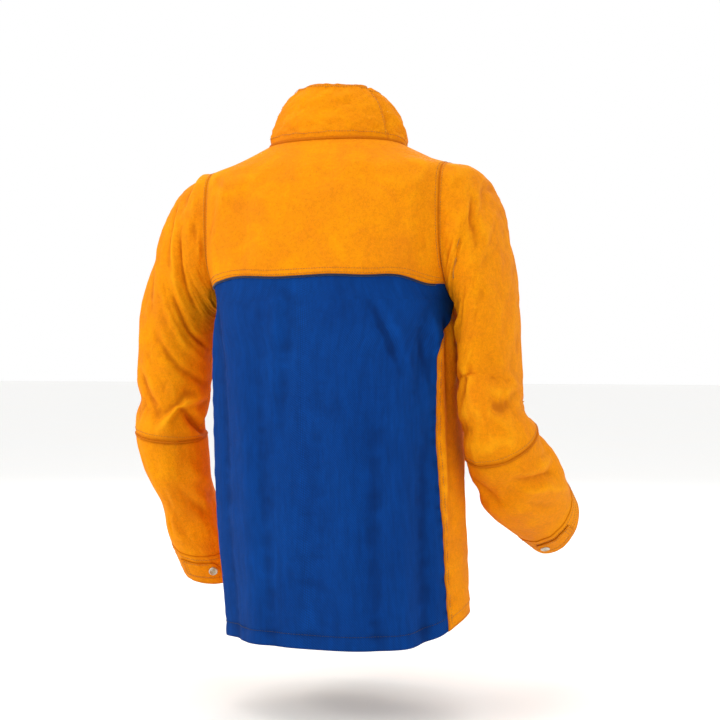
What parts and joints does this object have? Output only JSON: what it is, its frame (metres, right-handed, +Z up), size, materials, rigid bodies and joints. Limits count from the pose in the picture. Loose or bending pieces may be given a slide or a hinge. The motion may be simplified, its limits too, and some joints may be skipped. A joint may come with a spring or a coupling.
{
  "type": "leather welding jacket",
  "caption": "Long-sleeved split-leather welding jacket with a cotton back panel, stand collar, snapped front and snapped cuffs.",
  "frame": {"origin": "middle of the neck opening, level with the seam between the collar and the back", "axes": "+Z up, +Y towards the back of the jacket, +X towards the wearer's left"},
  "size_m": [0.6996, 0.3995, 0.8555],
  "materials": {
    "split_leather": "napped split cowhide, dyed golden yellow",
    "leather_inside": "napped split cowhide, flesh side",
    "blue_cotton": "flame-retardant cotton twill, royal blue",
    "snap_metal": "nickel-plated brass snap fasteners",
    "label_cloth": "plain woven label"
  },
  "bodies": {
    "torso": {"back_yoke": "split_leather", "back_panel": "blue_cotton", "left_front_side": "split_leather", "right_front_side": "split_leather", "collar_outer": "split_leather", "collar_lining": "leather_inside", "hang_loop": "blue_cotton", "size_label": "label_cloth"},
    "left_opening": {"left_front": "split_leather", "left_facing": "leather_inside", "snap_cap_1": "snap_metal", "snap_cap_2": "snap_metal", "snap_cap_3": "snap_metal", "snap_cap_4": "snap_metal", "snap_cap_5": "snap_metal"},
    "right_opening": {"right_front": "split_leather", "right_placket": "leather_inside", "snap_stud_1": "snap_metal", "snap_stud_2": "snap_metal", "snap_stud_3": "snap_metal", "snap_stud_4": "snap_metal", "snap_stud_5": "snap_metal"},
    "left_arm": {"left_upper_sleeve": "split_leather"},
    "left_forearm": {"left_forearm_sleeve": "split_leather", "left_cuff": "split_leather"},
    "left_tab": {"left_cuff_tab": "split_leather", "left_cuff_snap": "snap_metal"},
    "right_arm": {"right_upper_sleeve": "split_leather"},
    "right_forearm": {"right_forearm_sleeve": "split_leather", "right_cuff": "split_leather"},
    "right_tab": {"right_cuff_tab": "split_leather", "right_cuff_snap": "snap_metal"}
  },
  "joints": [
    {"name": "left_front_opens", "type": "hinge", "parent": "torso", "child": "left_opening", "pos_m": [0.094, -0.1515, -0.384], "axis": [-0.1393, 0, 0.9903], "range_deg": [0, 70]},
    {"name": "right_front_opens", "type": "hinge", "parent": "torso", "child": "right_opening", "pos_m": [-0.094, -0.1515, -0.384], "axis": [-0.1393, 0, -0.9903], "range_deg": [0, 10.5]},
    {"name": "left_sleeve_lifts", "type": "hinge", "parent": "torso", "child": "left_arm", "pos_m": [0.1934, 0, -0.03531], "axis": [0, -1, 0], "range_deg": [0, 75]},
    {"name": "left_elbow_bends", "type": "hinge", "parent": "left_arm", "child": "left_forearm", "pos_m": [0.28859, -0.05007, -0.45164], "axis": [-0.9917, 0, -0.1282], "range_deg": [0, 70]},
    {"name": "left_cuff_tab_opens", "type": "hinge", "parent": "left_forearm", "child": "left_tab", "pos_m": [0.2892, -0.02671, -0.69003], "axis": [-0.1788, -0.4705, -0.8641], "range_deg": [0, 100]},
    {"name": "right_sleeve_lifts", "type": "hinge", "parent": "torso", "child": "right_arm", "pos_m": [-0.1934, 0, -0.03531], "axis": [0, 1, 0], "range_deg": [0, 75]},
    {"name": "right_elbow_bends", "type": "hinge", "parent": "right_arm", "child": "right_forearm", "pos_m": [-0.26441, -0.05155, -0.4344], "axis": [-0.9774, 0.0668, 0.2005], "range_deg": [0, 40]},
    {"name": "right_cuff_tab_opens", "type": "hinge", "parent": "right_forearm", "child": "right_tab", "pos_m": [-0.34348, -0.1574, -0.61399], "axis": [0.1239, 0.9334, 0.3367], "range_deg": [0, 100]}
  ],
  "couplings": [
    {"joint": "right_front_opens", "follows": "left_front_opens", "ratio": 0.15}
  ]
}
